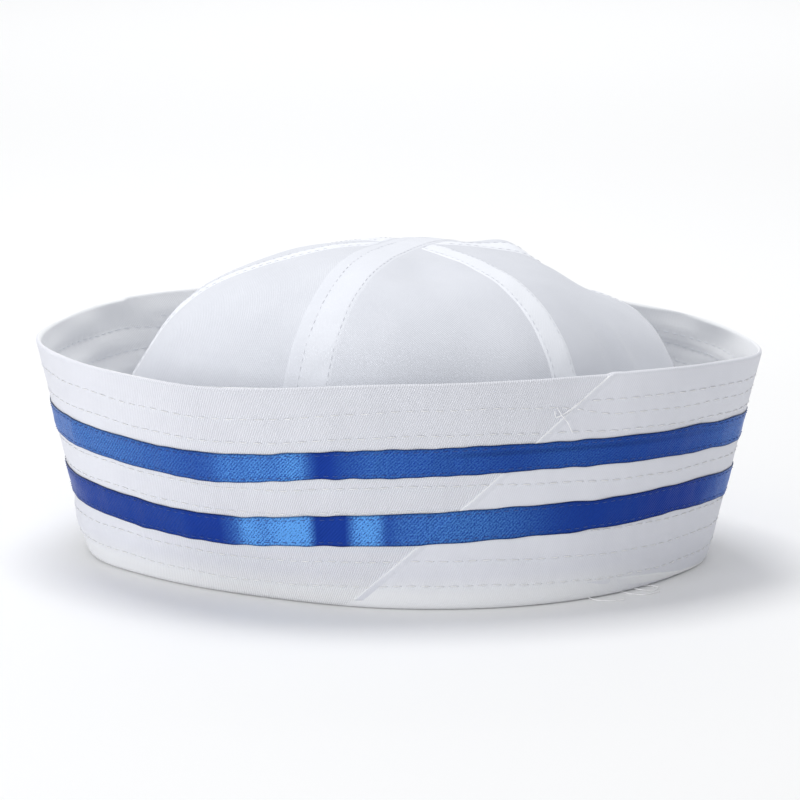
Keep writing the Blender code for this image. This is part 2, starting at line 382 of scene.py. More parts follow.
PANEL_FRESH, PANEL_SHADED = (0.775, 0.795, 0.855), (0.735, 0.755, 0.815)
panel_cotton = woven_material("Panel cotton", PANEL_FRESH, PANEL_SHADED, pitch=WEAVE_PITCH, slope=-pi / 4,
                              relief=0.00005, painted_hollow_shade=0.89)
for number in range(PANELS):
    middle = SEAM_AZIMUTH + (number + 0.5) * 360 / PANELS
    rough = np.linspace(0, PANEL_TOP, 600)
    length = run_length(crown_face(np.full(rough.shape, middle), rough))
    climbed = np.linspace(0, length[-1], PANEL_ROWS)
    stops = np.interp(climbed, length, rough)
    share, rise = np.meshgrid(np.linspace(-1, 1, PANEL_COLUMNS), stops)
    radius = plan_radius(middle, rise)
    turn = share * (180 / PANELS - np.degrees(PANEL_GAP / 2 / radius))
    outer = crown_face(middle + turn, rise)
    inner = outer - CROWN_WALL * crown_normals(middle + turn, rise)
    climb = np.broadcast_to(climbed[:, None], turn.shape)
    panel = cloth_object(f"panel_{number + 1}", outer, inner, np.radians(turn) * radius, climb, panel_cotton)
    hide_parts(f"crown_panel_{number + 1}")

# Crown seam strips
# Flat strips of the same thin cotton cover the seams between the panels, which makes the cloth
# there doubled and whiter. One runs right over the top, from the front left to the back; the
# other four end at it. Each is sewn down along both of its edges, and lies almost flush.
SEAM_WALL = 0.0006
SEAM_RISE = 0.00030
SEAM_SINK = 0.00006
SEAM_FEATHER = 0.0018
SEAM_FOOT = 0.006
SEAM_GAP = 0.0003
SEAM_ROW = 0.0011
SEAM_COLUMNS = 21
SEAM_PUFF = ((0.06, 0.009, 7),)  # depth (mm), size (m), seed
SEAM_BLUR = 0.0006  # how softly the white of the doubled cloth ends at an edge
LONG_SEAM = 1
LONG_SEAM_WIDTH = 0.0170
LONG_SEAM_FOLD = 0.0056  # where its hidden turning ends, from its left edge
LONG_SEAM_BLUR = 0.0022
LONG_SEAM_WHITE = 0.20  # for each layer of cloth under it
FOLD_BLUR = 0.0016
SHORT_SEAM_WIDTH = 0.0100
SHORT_SEAMS = (2, 3, 5, 6)
LONG_SEAM_ON_LEFT = (2, 5)
SEAM_STITCH_INSET = 0.0015
SEAM_STITCH_PITCH = 0.0027
SEAM_STITCH_LENGTH = 0.62 * SEAM_STITCH_PITCH
SEAM_STITCH_START = 0.002
SEAM_STITCH_SHIFT = 0.3  # of a pitch, between the rows at its two edges
SEAM_STITCH_ROOM = 3 * SEAM_STITCH_INSET  # least width that is sewn
SEAM_THREAD = 0.00014
SEAM_THREAD_BOW = 0.00005
THREAD_TURNS = 7
PLY_DEPTH = 0.00003
seam_cotton = woven_material("Seam cotton", PANEL_FRESH, PANEL_SHADED, pitch=WEAVE_PITCH, slope=pi / 3,
                             relief=0.00003, painted_hollow_shade=0.96, doubled_and_lit_white=(0.89, 0.91, 0.965))


def smooth(value):
    """Smoothstep: 0 below 0, 1 above 1, and three squares less two cubes in between."""
    t = np.clip(value, 0, 1)
    return t * t * (3 - 2 * t)


def crowded(count):
    """Shares from 0 to 1 that lie closer together at both ends: half of one less a cosine."""
    return (1 - np.cos(np.linspace(0, pi, count))) / 2


def seam_azimuth(number):
    """Azimuth of a seam's foot."""
    return SEAM_AZIMUTH + (number - 1) * 360 / PANELS


def crown_strip(azimuth, sideways, rise):
    """Azimuth and rise of a point beside a seam's middle line.

    A rise above 1 is beyond the top, on the line's other half. Near the top the distance
    sideways is kept in plan, and near the crown's edge both sides stay level.
    """
    beyond = rise > 1
    rise = np.where(beyond, 2 - rise, rise)
    azimuth = azimuth + 180 * beyond
    sideways = np.where(beyond, -sideways, sideways)
    distance = plan_radius(azimuth, rise)
    level = (distance / crown_side(azimuth)[0]) ** 2
    azimuth = azimuth + np.degrees(np.arctan2(sideways, distance))
    return azimuth, level * rise + (1 - level) * rise_at(azimuth, np.hypot(distance, sideways))


def seam_width(number, rise):
    """How far a strip reaches to either side of its middle line, in metres.

    The long strip keeps its width. A short one is cut off along the long strip's edge on one
    side and mitred against its neighbour on the other.
    """
    if number == LONG_SEAM:
        return -LONG_SEAM_WIDTH / 2 + 0 * rise, LONG_SEAM_WIDTH / 2 + 0 * rise
    spread = 2 * pi / PANELS
    distance = plan_radius(seam_azimuth(number), rise)
    clear = (distance * np.sin(spread) - LONG_SEAM_WIDTH / 2 - SEAM_GAP) / np.cos(spread)
    to_long = np.minimum(SHORT_SEAM_WIDTH / 2, clear)
    to_short = np.minimum(SHORT_SEAM_WIDTH / 2, distance * np.tan(spread / 2) - SEAM_GAP)
    return (-to_long, to_short) if number in LONG_SEAM_ON_LEFT else (-to_short, to_long)


def seam_end(number):
    """Rise at which a strip ends: past the top for the long one, at its mitre for the others."""
    if number == LONG_SEAM:
        return 2 - SEAM_FOOT
    near_top = (LONG_SEAM_WIDTH / 2 + SEAM_GAP) * np.cos(pi / PANELS) + 2 * SEAM_GAP
    return rise_at(seam_azimuth(number), near_top)


def seam_face(azimuth, sideways, rise, lift):
    """A seam strip's outer face: the crown's face at the strip's place, moved out by a lift."""
    turn, level = crown_strip(azimuth, sideways, rise)
    return crown_face(turn, level) + lift[..., None] * crown_normals(turn, level)


seam_lines = {}
for number in (LONG_SEAM, *SHORT_SEAMS):
    azimuth = seam_azimuth(number)
    rough = np.linspace(SEAM_FOOT, seam_end(number), 900)
    length = run_length(seam_face(azimuth, 0 * rough, rough, 0 * rough))
    seam_lines[number] = (azimuth, rough, length)
    climbed = np.linspace(0, length[-1], int(length[-1] / SEAM_ROW))
    stops = np.interp(climbed, length, rough)
    left, right = seam_width(number, stops)
    side = left[:, None] + (right - left)[:, None] * crowded(SEAM_COLUMNS)
    rise = np.broadcast_to(stops[:, None], side.shape)
    climb = np.broadcast_to(climbed[:, None], side.shape)
    from_left = side - left[:, None]
    to_edge = np.minimum(from_left, right[:, None] - side)
    shows = np.clip(to_edge / SEAM_BLUR, 0, 1)
    if number == LONG_SEAM:
        turned = np.clip((from_left - LONG_SEAM_FOLD) / FOLD_BLUR + 0.5, 0, 1)
        shows = shows * np.clip(from_left / LONG_SEAM_BLUR, 0, 1) * LONG_SEAM_WHITE * (1 + turned)
    puff = waviness(np.stack((side, climb, 0 * side), -1), SEAM_PUFF) * MM
    outer = seam_face(azimuth, side, rise, smooth(to_edge / SEAM_FEATHER) * (SEAM_RISE + puff) - SEAM_SINK)
    inner = seam_face(azimuth, side, rise, 0 * side - SEAM_SINK - SEAM_WALL)
    name = "seam_long" if number == LONG_SEAM else f"seam_{number}"
    strip = cloth_object(name, outer, inner, side, climb, seam_cotton, marks={"Doubled and painted light": shows})
    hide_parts("crown_" + name)


def thread_material(name, colour, painted_end_shade):
    """Sewing thread: two plies as a bump along the UV map, with painted shade where its ends go down into
    the cloth.

    u runs from 0 to 1 along each stitch and v once round it.
    """
    material, tree, shader = open_material(name, {"Roughness": 0.6, "Sheen Weight": 0.2})
    parts = add_node(tree, "SeparateXYZ", {0: add_node(tree, "UVMap", uv_map="Thread").outputs["UV"]})
    along, turned = parts.outputs[0], parts.outputs[1]
    apart = compute(tree, "ABSOLUTE", compute(tree, "SUBTRACT", along, 0.5))
    ends = add_node(tree, "MapRange", {"Value": apart, "From Min": 0.36, "From Max": 0.46},
                    interpolation_type="SMOOTHSTEP").outputs["Result"]
    # The second colour is painted shade at the stitch's ends, where the thread goes into the cloth.
    colour_with_painted_light = add_node(tree, "Mix", {"Factor": ends, "A": (*colour, 1), "B": (*painted_end_shade, 1)}, data_type="RGBA")
    tree.links.new(colour_with_painted_light.outputs["Result"], shader.inputs["Base Color"])
    twist = compute(tree, "MULTIPLY_ADD", along, THREAD_TURNS, turned)
    emboss(tree, shader, compute(tree, "SINE", compute(tree, "MULTIPLY", twist, 4 * pi)), PLY_DEPTH)
    return material


def sewn(name, starts, ends, outs, thickness, bow, material):
    """Stitches: a short tube from each start to each end, arched out of the cloth, from lists
    of arrays of points and of outward normals.

    The tube's middle line is the straight line plus bow times half a sine along out. Its
    radius swells by the same half sine, so both ends are thin and go down into the cloth.
    """
    start, end, out = (np.concatenate(parts) for parts in (starts, ends, outs))
    rings, sides = 6, 5
    share = np.linspace(0, 1, rings)
    turn = np.arange(sides) * 2 * pi / sides
    arch = np.sin(pi * share)
    along = end - start
    side = np.cross(along / np.linalg.norm(along, axis=1, keepdims=True), out)
    rise = (bow * (1.4 * arch - 0.4))[:, None]
    line = start[:, None] + along[:, None] * share[:, None] + out[:, None] * rise
    spoke = side[:, None] * np.cos(turn)[:, None] + out[:, None] * np.sin(turn)[:, None]
    girth = thickness / 2 * (0.35 + 0.65 * np.sqrt(arch))
    points = line[:, :, None] + girth[:, None, None] * spoke[:, None]
    ring, slot = np.meshgrid(np.arange(rings - 1), np.arange(sides), indexing="ij")
    ring, slot = ring.ravel(), slot.ravel()
    beside = (slot + 1) % sides
    quad = np.stack((ring * sides + slot, (ring + 1) * sides + slot, (ring + 1) * sides + beside,
                     ring * sides + beside), -1)
    cap = np.stack((np.arange(sides), np.arange(sides)[::-1] + (rings - 1) * sides))
    first = np.arange(len(start))[:, None, None] * rings * sides
    faces = (quad + first).reshape(-1, 4).tolist() + (cap + first).reshape(-1, sides).tolist()
    u = np.stack((share[ring], share[ring + 1], share[ring + 1], share[ring]), -1)
    v = np.stack((slot, slot, slot + 1, slot + 1), -1) / sides
    quad_uv = np.tile(np.stack((u, v), -1).reshape(-1), len(start))
    cap_uv = np.zeros(len(start) * 2 * sides * 2)
    return add_piece(name, points, faces, "Thread", np.concatenate((quad_uv, cap_uv)), material)


# Its second colour is painted shade where the stitches go into the cloth.
seam_thread = thread_material("White seam thread", (0.90, 0.92, 0.98), (0.78, 0.80, 0.87))
starts, ends, outs = [], [], []
for number, (azimuth, rough, length) in seam_lines.items():
    count = int((length[-1] - 2 * SEAM_STITCH_START) / SEAM_STITCH_PITCH)
    for edge_side in (0, 1):
        first = SEAM_STITCH_START + (np.arange(count) + SEAM_STITCH_SHIFT * edge_side) * SEAM_STITCH_PITCH
        inset = LONG_SEAM_FOLD if number == LONG_SEAM and edge_side == 0 else SEAM_STITCH_INSET
        both = []
        for climbed in (first, first + SEAM_STITCH_LENGTH):
            rise = np.interp(climbed, length, rough)
            limits = seam_width(number, rise)
            side = limits[edge_side] + (1 - 2 * edge_side) * inset
            both.append(seam_face(azimuth, side, rise, np.full(count, SEAM_RISE - SEAM_SINK)))
        roomy = limits[1] - limits[0] > SEAM_STITCH_ROOM
        starts.append(both[0][roomy])
        ends.append(both[1][roomy])
        outs.append(crown_normals(*crown_strip(azimuth, side, rise))[roomy])
seam_sewing = sewn("seam_stitching", starts, ends, outs, SEAM_THREAD, SEAM_THREAD_BOW, seam_thread)

# Brim
# A stiff band of white twill, cut on the bias and sewn double: it stands up outside the crown
# from the fold that the cap rests on, and its top edge is folded too. Eight rows of stitching
# run round it, a little wavy, and draw the cloth in.
BRIM_SLANT = 0.0715
BRIM_WALL = 0.0018
FOLD_RADIUS = 0.0028
FLANGE = 0.008
BELLY_HEIGHT = 0.011
BELLY_SPREAD = 0.006
ROW_FIRST = 0.0070
ROW_PITCH = 0.0079
ROWS = 8
ROW_DROP = 0.0026  # of the eighth row on the right-hand piece
ROW_PARTING = (-6, 14)  # degrees from the join where it starts to drop, and over how many
ROW_STRAY = ((1.0, 4, 0.88), (0.15, 23, 1.0))  # depth (mm), waves round the brim, phase (radians)
EXTRA_ROW = 0.0639
EXTRA_ROW_STRAY = 0.3  # of the other rows' straying
STITCH_PITCH = 0.0044
STITCH_PULL = 0.25  # how much less the cloth is drawn in between two stitches
STITCH_SHIFT = 1.7  # radians, from each row to the next
QUILT_WIDTH = 0.0011
QUILT_DEPTH = 0.17  # mm, as the other depths on the brim
BRIM_WAVES = ((0.22, 0.055, 11), (0.10, 0.020, 12))  # depth (mm), size (m), seed
BRIM_PUCKER = ((0.05, 0.006, 13),)
TALLER, FLATTER = (1, 1, 0.35), (1, 1, 2.2)  # scales of space for puckers and for the back
WALL_START = 0.003
WALL_EASE = 0.006
RIM_SPARE = 0.001
RIM_EASE = 0.004
JOIN_AZIMUTH = -11.3  # where the front join meets the foot, degrees
JOIN_LEAN = 710  # degrees round for each metre up the slant
JOIN_SWELL = 0.16
JOIN_REACH = 4  # degrees
JOIN_BLUR = 0.7  # degrees
BACK_JOIN = 196  # degrees from the front join to the one at the back
RIM_RAISE = 0.0006
RAISE_START = 0.058
RAISE_EASE = 0.012
RAISE_FADING = 20  # degrees
RAISE_REACH = 90  # degrees
PRESSED = 0.75
RIBBED = (-6, 30, 25)  # middle, half width and fading of the part with sharp ribs (degrees)
# How white the foot is made: its turning showing through, and painted bounce light from the table.
TURNING_WHITE_AND_BOUNCE = 0.9
TURNING_TOP = 0.0110
TURNING_EASE = 0.006
TURNING_END = 54  # azimuth
TURNING_FADING = 16  # degrees
BACK_QUILT = 0.34
BACK_SLACK = ((0.42, 0.026, 15),)
FLANGE_EDGE = 0.9 * FLANGE
HEM_TOP = 0.009
RIM_ROUND = 0.0012
FOLD_ROWS, HEM_ROWS, WALL_ROWS, RIM_ROWS = 9, 12, 57, 6
BRIM_COLUMNS = 560
BACK = 180  # azimuth


def brim_line(azimuth, slant):
    """The brim's plain outer face: flat flange, round fold, then the leaning wall with its belly."""
    lean = np.arcsin(around(BRIM_SECTIONS, azimuth, FLARE) * MM / BRIM_SLANT)
    turn = pi / 2 - lean
    tangent = FOLD_RADIUS * np.tan(turn / 2)
    foot = around(BRIM_SECTIONS, azimuth, FOOT) * MM
    fold = np.clip((slant + tangent) / (2 * tangent), 0, 1) * turn
    wall = np.maximum(slant - tangent, 0)
    flat = np.maximum(-slant - tangent, 0)
    radius = foot - tangent + FOLD_RADIUS * np.sin(fold) + wall * np.sin(lean) - flat
    height = FOLD_RADIUS * (1 - np.cos(fold)) + wall * np.cos(lean)
    bulge = np.exp(-((height - BELLY_HEIGHT) / BELLY_SPREAD) ** 2)
    radius = radius + around(BRIM_SECTIONS, azimuth, BELLY) * MM * bulge
    return place(azimuth, radius, height)


azimuths = BACK + np.arange(BRIM_COLUMNS) * 360 / BRIM_COLUMNS
waist = brim_line(azimuths, np.full(BRIM_COLUMNS, BRIM_SLANT / 2))
girth_at = run_length(np.concatenate((waist, waist[:1])))


def along_brim(azimuth):
    """Distance round the brim at half its height, from the back, at any azimuth."""
    turned = np.mod(azimuth - BACK, 360) * BRIM_COLUMNS / 360
    return np.interp(turned, np.arange(BRIM_COLUMNS + 1), girth_at)


def azimuth_along(distance):
    """Azimuth at a distance round the brim, the inverse of along_brim."""
    column = np.interp(np.mod(distance, girth_at[-1]), girth_at, np.arange(BRIM_COLUMNS + 1))
    return BACK + column * 360 / BRIM_COLUMNS


def join_side(azimuth, slant):
    """Degrees from the nearer join, positive on the right-hand piece: a triangle wave round
    the brim whose zeros are the two diagonal joins."""
    half = BACK_JOIN / 2
    return half - np.abs(turned_from(azimuth - JOIN_LEAN * slant, JOIN_AZIMUTH + half))


def row_slant(row, azimuth):
    """Slant of a stitch row: evenly spaced, straying by one slow sine and one quick one. On
    the right-hand piece the eighth row runs lower and a ninth runs above it."""
    turn = np.radians(azimuth)
    stray = sum(depth * np.sin(waves * turn + phase) for depth, waves, phase in ROW_STRAY) * MM
    plain = ROW_FIRST + row * ROW_PITCH + stray
    if row == ROWS - 1:
        start, reach = ROW_PARTING
        return plain - ROW_DROP * smooth((join_side(azimuth, EXTRA_ROW) - start) / reach)
    return EXTRA_ROW + EXTRA_ROW_STRAY * stray if row == ROWS else plain


def quilting(azimuth, slant):
    """Hollows of the stitch rows: a Gaussian across each row, deeper at each stitch."""
    along = 2 * pi * along_brim(azimuth) / STITCH_PITCH
    hollow = 0 * slant
    for row in range(ROWS + 1):
        here = 1 if row < ROWS else np.clip(join_side(azimuth, EXTRA_ROW), 0, 1)
        off = slant - row_slant(row, azimuth)
        pulled = 1 - STITCH_PULL + STITCH_PULL * np.cos(along + STITCH_SHIFT * row)
        hollow = hollow + here * np.exp(-(off / QUILT_WIDTH) ** 2) * pulled
    return hollow


def on_wall(slant):
    """How free the cloth is to stand off its plain face: 0 at the fold, 1 on the wall above."""
    return np.clip((slant - WALL_START) / WALL_EASE, 0, 1)


def brim_relief(azimuth, slant):
    """How far the cloth stands off its plain face: soft waves and small puckers, and a swelling
    along each join, less the quilting."""
    point = brim_line(azimuth, slant)
    waves = waviness(point, BRIM_WAVES) + waviness(point * TALLER, BRIM_PUCKER)
    below_rim = np.clip((BRIM_SLANT + RIM_SPARE - slant) / RIM_EASE, 0, 1)
    swell = JOIN_SWELL * np.exp(-(join_side(azimuth, slant) / JOIN_REACH) ** 2)
    relief = waves + below_rim * swell - QUILT_DEPTH * quilting(azimuth, slant)
    return on_wall(slant) * relief * MM


def brim_face(azimuth, slant, lift=0):
    """The brim's outer face with its relief, moved out by a lift."""
    lift = np.asarray(lift + brim_relief(azimuth, slant))
    return brim_line(azimuth, slant) + lift[..., None] * normals(brim_line, azimuth, slant)


def brim_back(azimuth, slant):
    """How far the inner face stands off its plain place: the quilting and a soft unevenness."""
    slack = waviness(brim_line(azimuth, slant) * FLATTER, BACK_SLACK)
    return on_wall(slant) * (BACK_QUILT * quilting(azimuth, slant) - slack) * MM


def rounded(distance, wall):
    """Share of the wall's thickness left at a distance from a folded edge: a half circle."""
    return np.sqrt(np.clip(1 - (1 - np.clip(distance / (wall / 2), 0, 1)) ** 2, 0.01, 1))


def raised(azimuth, slant):
    """Slant with the rim's extra height on the right-hand piece: only near the rim, and dying
    away round the brim from the front join, by an exponential."""
    off = join_side(azimuth, BRIM_SLANT)
    more = RIM_RAISE * np.clip(off / JOIN_BLUR, 0, 1) * np.exp(-np.clip(off, 0, RAISE_REACH) / RAISE_FADING)
    return slant + more * np.clip((slant - RAISE_START) / RAISE_EASE, 0, 1)


def pressed_cloth(azimuth, slant):
    """How far the ribs are pressed flat: three quarters on the right-hand piece and on the far
    left, and not at all at the front."""
    middle, half_width, fading = RIBBED
    right = np.clip(join_side(azimuth, slant) / JOIN_BLUR + 0.5, 0, 1)
    beyond = np.clip((np.abs(turned_from(azimuth, middle)) - half_width) / fading, 0, 1)
    return PRESSED * np.maximum(right, beyond)


def foot_whitening_and_bounce(azimuth, slant):
    """How much the foot is whitened, at the first stitch row and below it, ending at the lap on
    the front right: the turning inside showing through, and painted bounce light from the table."""
    before_lap = np.clip((TURNING_END - turned_from(azimuth, 0)) / TURNING_FADING, 0, 1)
    return TURNING_WHITE_AND_BOUNCE * np.clip((TURNING_TOP - slant) / TURNING_EASE, 0, 1) * before_lap


# Its second white stands for doubled cloth and is also painted light on the foot, the inner face and the
# join ridges.
twill = woven_material("Brim twill", (0.87, 0.882, 0.945), (0.835, 0.847, 0.91), pitch=0.00066, slope=1.17,
                       relief=0.00014, painted_hollow_shade=0.74, pressed=True, doubled_and_lit_white=(0.97, 0.98, 1.0))
slants = np.concatenate(((-FOLD_RADIUS - FLANGE, -FOLD_RADIUS - FLANGE_EDGE),
                         np.linspace(-FOLD_RADIUS, FOLD_RADIUS, FOLD_ROWS)[:-1],
                         np.linspace(FOLD_RADIUS, HEM_TOP, HEM_ROWS, endpoint=False),
                         np.linspace(HEM_TOP, BRIM_SLANT - RIM_ROUND, WALL_ROWS),
                         BRIM_SLANT - RIM_ROUND * (1 - np.sin(np.linspace(0.2, 1, RIM_ROWS) * pi / 2))))
azimuth, slant = np.meshgrid(azimuths, slants)
full = rounded(BRIM_SLANT - slant, BRIM_WALL)
slant = raised(azimuth, slant)
face = brim_line(azimuth, slant)
normal = normals(brim_line, azimuth, slant)
relief = brim_relief(azimuth, slant)
half = BRIM_WALL / 2
outward = (full - 1) * half + relief * full
inward = -(full + 1) * half + relief * (1 - full) + brim_back(azimuth, slant) * full
outer = face + outward[..., None] * normal
inner = face + inward[..., None] * normal
# The inner face is whitened all over: painted fill light in the shade inside the brim.
brim = cloth_object("brim_band", outer, inner, np.broadcast_to(girth_at[:-1], azimuth.shape), slant, twill,
                    ring=True, marks={"Pressed": pressed_cloth(azimuth, slant),
                                      "Doubled and painted light": (foot_whitening_and_bounce(azimuth, slant), 0 * slant + 1)})
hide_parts("brim")

# Joins and foot turning of the brim
# The band is closed by two diagonal joins, where one piece is folded under and lapped over the
# other, so its edge stands up as a fine ridge, whitened by a painted highlight. At the front right
# the lower edge of the lap shows as a second layer round the foot, whitened by painted bounce
# light from the table as well as by its doubled cloth.
JOIN_FOLD = 0.0045
JOIN_RISE = 0.00042
JOIN_LAYER = 0.0005
JOIN_ROUND = 0.0005  # width of the rounded edge
JOIN_TUCK = 0.0001  # how deep the layer's edges lie in the cloth
JOIN_NEAR = 0.0008  # its finely divided part
JOIN_STEPS = 9
JOIN_ROWS = 130
JOIN_BELOW_RIM = 0.0003
JOIN_PRESSED = 0.8
UNDER_RIBBON = 0.1  # share of its rise that the ribbons leave
RIM_RADIUS = 0.094
LAP_LINE = (  # azimuth (degrees), height of the lap's edge up the slant (mm)
    (36, 6.3),
    (45, 5.7),
    (55, 3.9),
    (62, 2.0),
    (74, 0.4),
)
LAP_COLUMNS = 90
LAP_RISE = 0.5 * JOIN_RISE
LAP_FADING = 16  # degrees
LAP_PRESS = (0.5, 0.5, 9)  # depth and width (mm) of its pressed edge, degrees in which it starts
LAP_DENT = (0.30, 43, 1.2)  # depth (mm), azimuth and half width (degrees)
RIBBON_WIDTH = 0.0096
RIBBON_EDGES = (  # azimuth (degrees), then top and bottom edge of the upper and the lower ribbon (mm)
    (0, 51.3, 42.3, 30.9, 20.7),
    (20, 51.9, 43.3, 32.3, 22.3),
    (40, 51.6, 43.2, 32.3, 22.8),
    (56, 51.8, 42.6, 33.0, 23.6),
    (90, 51.8, 42.2, 32.6, 23.0),
    (120, 51.3, 41.7, 31.8, 22.2),
    (210, 50.8, 41.2, 30.8, 21.2),
    (280, 51.3, 41.5, 30.8, 21.2),
    (305, 49.5, 40.1, 28.4, 18.4),
    (322, 49.3, 39.3, 27.8, 17.8),
    (342, 50.6, 41.6, 29.6, 19.7),
)
UPPER_TOP, UPPER_BOTTOM, LOWER_TOP, LOWER_BOTTOM = 1, 2, 3, 4


def under_ribbon(azimuth, slant):
    """True where a ribbon covers the brim."""
    columns = (UPPER_TOP, UPPER_BOTTOM, LOWER_TOP, LOWER_BOTTOM)
    edges = [around(RIBBON_EDGES, azimuth, column) * MM for column in columns]
    return ((slant < edges[0]) & (slant > edges[1])) | ((slant < edges[2]) & (slant > edges[3]))


def lap(name, azimuth, slant, inset, rise, doubled_and_lit, dented=0):
    """A layer lapped on the brim: its face lifted by a rounded edge that eases down to nothing
    across its width, from grids of its places, of distances from the edge, of the rise, of how
    much it is whitened, as doubled cloth and as painted light, and of dents. The ribbons press it down."""
    edge = np.sqrt(1 - (1 - np.clip(inset / JOIN_ROUND, 0, 1)) ** 2)
    rise = rise * np.where(under_ribbon(azimuth, slant), UNDER_RIBBON, 1)
    lift = (rise + JOIN_TUCK) * edge * (1 - smooth(inset / JOIN_FOLD)) - JOIN_TUCK
    normal = normals(brim_line, azimuth, slant)
    at_rim = (rounded(BRIM_SLANT - slant, BRIM_WALL) - 1) * BRIM_WALL / 2
    slant = raised(azimuth, slant)
    outer = brim_face(azimuth, slant, lift + at_rim - dented)
    layer = cloth_object(name, outer, outer - JOIN_LAYER * normal, along_brim(azimuth), slant, twill,
                         marks={"Pressed": JOIN_PRESSED + 0 * slant, "Doubled and painted light": doubled_and_lit})


edge_steps = np.concatenate((np.linspace(-JOIN_TUCK, JOIN_NEAR, JOIN_STEPS),
                             np.linspace(JOIN_NEAR, JOIN_FOLD, JOIN_STEPS)[1:]))
join_slants = np.linspace(FOLD_RADIUS, BRIM_SLANT - JOIN_BELOW_RIM, JOIN_ROWS)
for number, start, way in ((1, JOIN_AZIMUTH, 1), (2, JOIN_AZIMUTH + BACK_JOIN, -1)):
    inset, slant = np.meshgrid(edge_steps[::way], join_slants)
    azimuth = start + JOIN_LEAN * slant + way * np.degrees(inset / RIM_RADIUS)
    # The whitening along each ridge is a painted highlight.
    lap(f"brim_join_{number}", azimuth, slant, inset, JOIN_RISE, np.exp(-(inset / JOIN_ROUND) ** 2))

lap_azimuths, lap_edge = np.array(LAP_LINE).T
lap_way = np.linspace(lap_azimuths[0], lap_azimuths[-1], LAP_COLUMNS)
inset, azimuth = np.meshgrid(edge_steps[::-1], lap_way, indexing="ij")
slant = np.interp(azimuth, lap_azimuths, lap_edge) * MM - inset
fading = smooth((azimuth - lap_azimuths[0]) / LAP_FADING)
depth, width, start = LAP_PRESS
starting = np.clip((azimuth - lap_azimuths[0]) / start, 0, 1) * (azimuth < lap_azimuths[-1])
dented = depth * np.exp(-((inset / MM + 0.5) / width) ** 2) * starting
depth, middle, half_width = LAP_DENT
dented = dented + depth * np.exp(-((azimuth - middle) / half_width) ** 2)
# This layer's whitening is painted bounce light from the table, over its doubled cloth.
lap("foot_turning", azimuth, slant, inset, LAP_RISE * fading, fading, on_wall(slant) * dented * MM)

# Brim stitching
# Lockstitch in white cotton thread, seen as a row of dashes on both faces of the brim. It was
# sewn before the ribbons, which cover parts of some rows.
STITCH_LENGTH = 0.0031
THREAD = 0.00036
THREAD_BOW = 0.00020
THREAD_STAND = 0.15 * THREAD
ROW_STAGGER = 0.27  # of a pitch
INNER_STAGGER = 0.5
EXTRA_ROW_START = 1  # degrees from the join
INNER_THREAD = 0.6 * THREAD
INNER_THREAD_BOW = 0.00012
# Its second colour is painted shade where the stitches go into the cloth.
brim_thread = thread_material("White brim thread", (0.99, 0.99, 1.0), (0.60, 0.63, 0.72))
stitch_count = int(girth_at[-1] / STITCH_PITCH)
for inside in (False, True):
    starts, ends, outs = [], [], []
    for row in range(ROWS + 1):
        stagger = ROW_STAGGER * row + INNER_STAGGER * inside
        first = (np.arange(stitch_count) + stagger) * girth_at[-1] / stitch_count
        sewn_here = np.ones(stitch_count, bool)
        both = []
        for distance in (first, first + STITCH_LENGTH):
            azimuth = azimuth_along(distance)
            slant = row_slant(row, azimuth)
            if row == ROWS:
                sewn_here &= join_side(azimuth, slant) > EXTRA_ROW_START
            normal = normals(brim_line, azimuth, slant)
            if inside:
                inward = brim_back(azimuth, slant) - BRIM_WALL
                point = brim_line(azimuth, slant) + inward[:, None] * normal
                normal = -normal
            else:
                sewn_here &= ~under_ribbon(azimuth, slant)
                point = brim_face(azimuth, slant)
            both.append(point + normal * THREAD_STAND)
        starts.append(both[0][sewn_here])
        ends.append(both[1][sewn_here])
        outs.append(normal[sewn_here])
    if inside:
        sewing = sewn("brim_stitching_inside", starts, ends, outs, INNER_THREAD, INNER_THREAD_BOW,
                      seam_thread)
    else:
        sewing = sewn("brim_stitching", starts, ends, outs, THREAD, THREAD_BOW, brim_thread)

# Ribbons
# Two lengths of blue satin ribbon, laid round the brim and sewn down along both edges. Each
# starts and ends at the back, where the last centimetre laps over the beginning.
RIBBON_WALL = 0.00026
RIBBON_LIFT = 0.00010
RIBBON_START = 176
RIBBON_LAP = 6
RIBBON_LAP_LIFT = 0.0005
RIBBON_LAP_AT = (359, 1.5)  # degrees from its start to where the lap rises, and over how many
RIBBON_ROWS = 19
RIBBON_COLUMNS = 900
RIBBON_INSET = 0.0012
RIBBON_STITCH_PITCH = 0.0030
RIBBON_STITCH_LENGTH = 0.6 * RIBBON_STITCH_PITCH
RIBBON_THREAD = 0.00024
RIBBON_THREAD_BOW = 0.00014
RIBBON_THREAD_LIFT = 0.00004
RAGGED = (0.16, 0.011, 20)  # depth (mm), size (m), first seed
PUCKER = (0.07, 0.006, 30)
WAVE = (0.26, 0.021, 40)
WAVE_LOW = -0.2
WAVE_EASE = 0.003
SEWN_LINE = (0.08, 0.0006)  # depth (mm), half width (m)
OVER_JOIN = (0.25, 0.3)  # height (mm), degrees from the join
TUCK = (0.25, 0.71, 0.05)  # depth (mm), middle and half width across the ribbon, from 0 to 1
TUCK_START, TUCK_END = (366, 8), (440, 40)  # azimuth and fading (degrees)
TUCK_SHADE = 0.6
EDGE_SHADE = 0.0004
